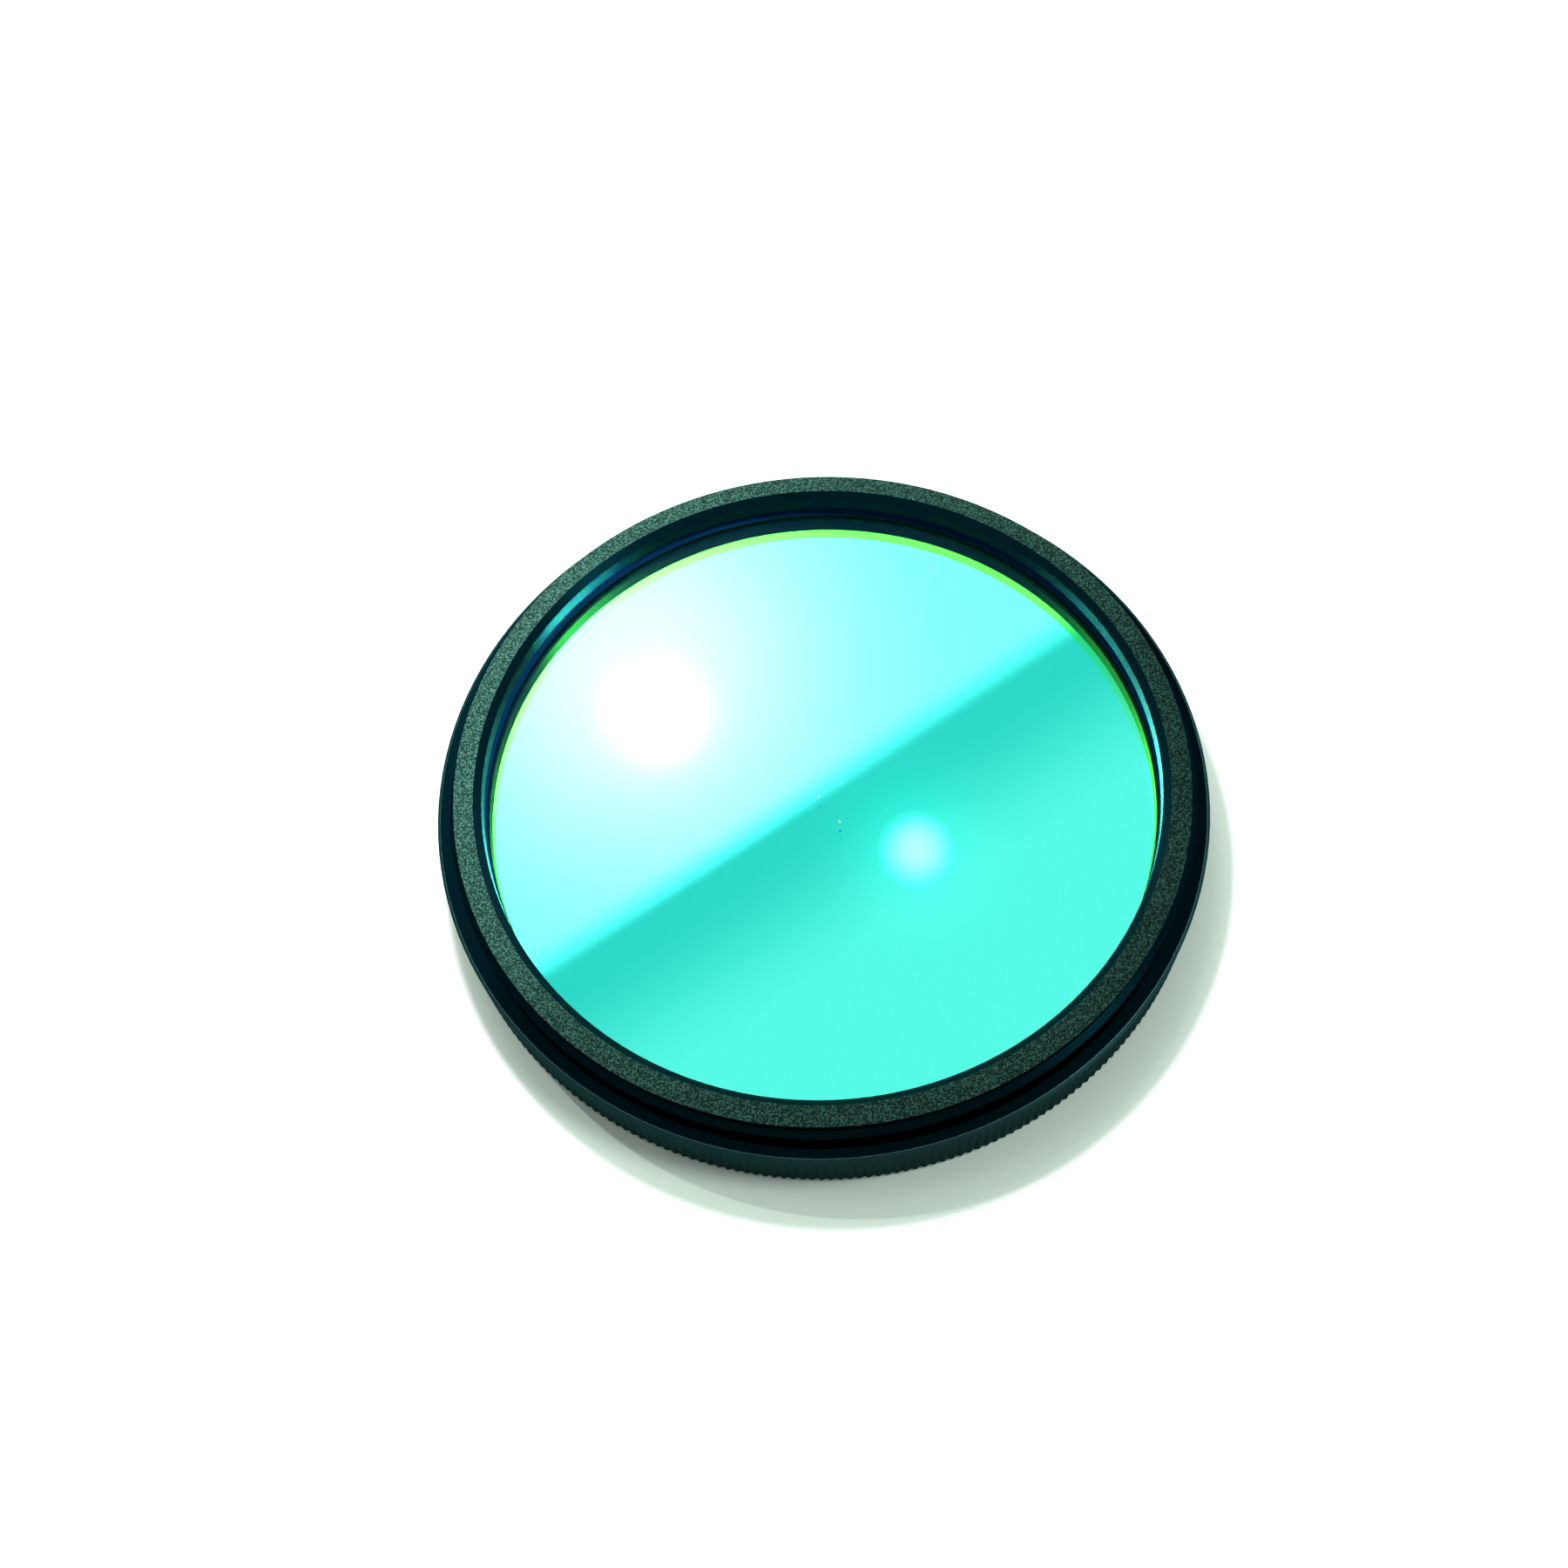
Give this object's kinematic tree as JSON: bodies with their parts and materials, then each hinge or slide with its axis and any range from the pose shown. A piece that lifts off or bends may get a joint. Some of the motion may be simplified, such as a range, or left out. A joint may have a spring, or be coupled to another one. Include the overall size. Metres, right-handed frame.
{
  "type": "optical bandpass filter",
  "caption": "Screw-in optical bandpass filter: a flat dichroic glass disc in a short knurled round metal cell with a male filter thread above and a female one below.",
  "frame": {"origin": "centre of the cell's bottom face, which it stands on", "axes": "+Z along the optical axis, from the female thread's mouth towards the male thread; X along the retaining ring's spanner slots"},
  "size_m": [0.05, 0.05, 0.0063],
  "materials": {
    "anodised_aluminium": "bead-blasted, anodised black",
    "coated_glass": "polished, with a cyan-green dichroic coating",
    "ring_aluminium": "turned, anodised black"
  },
  "bodies": {
    "root": {"filter_cell": "anodised_aluminium", "filter_glass": "coated_glass", "retaining_ring": "ring_aluminium"}
  },
  "joints": []
}
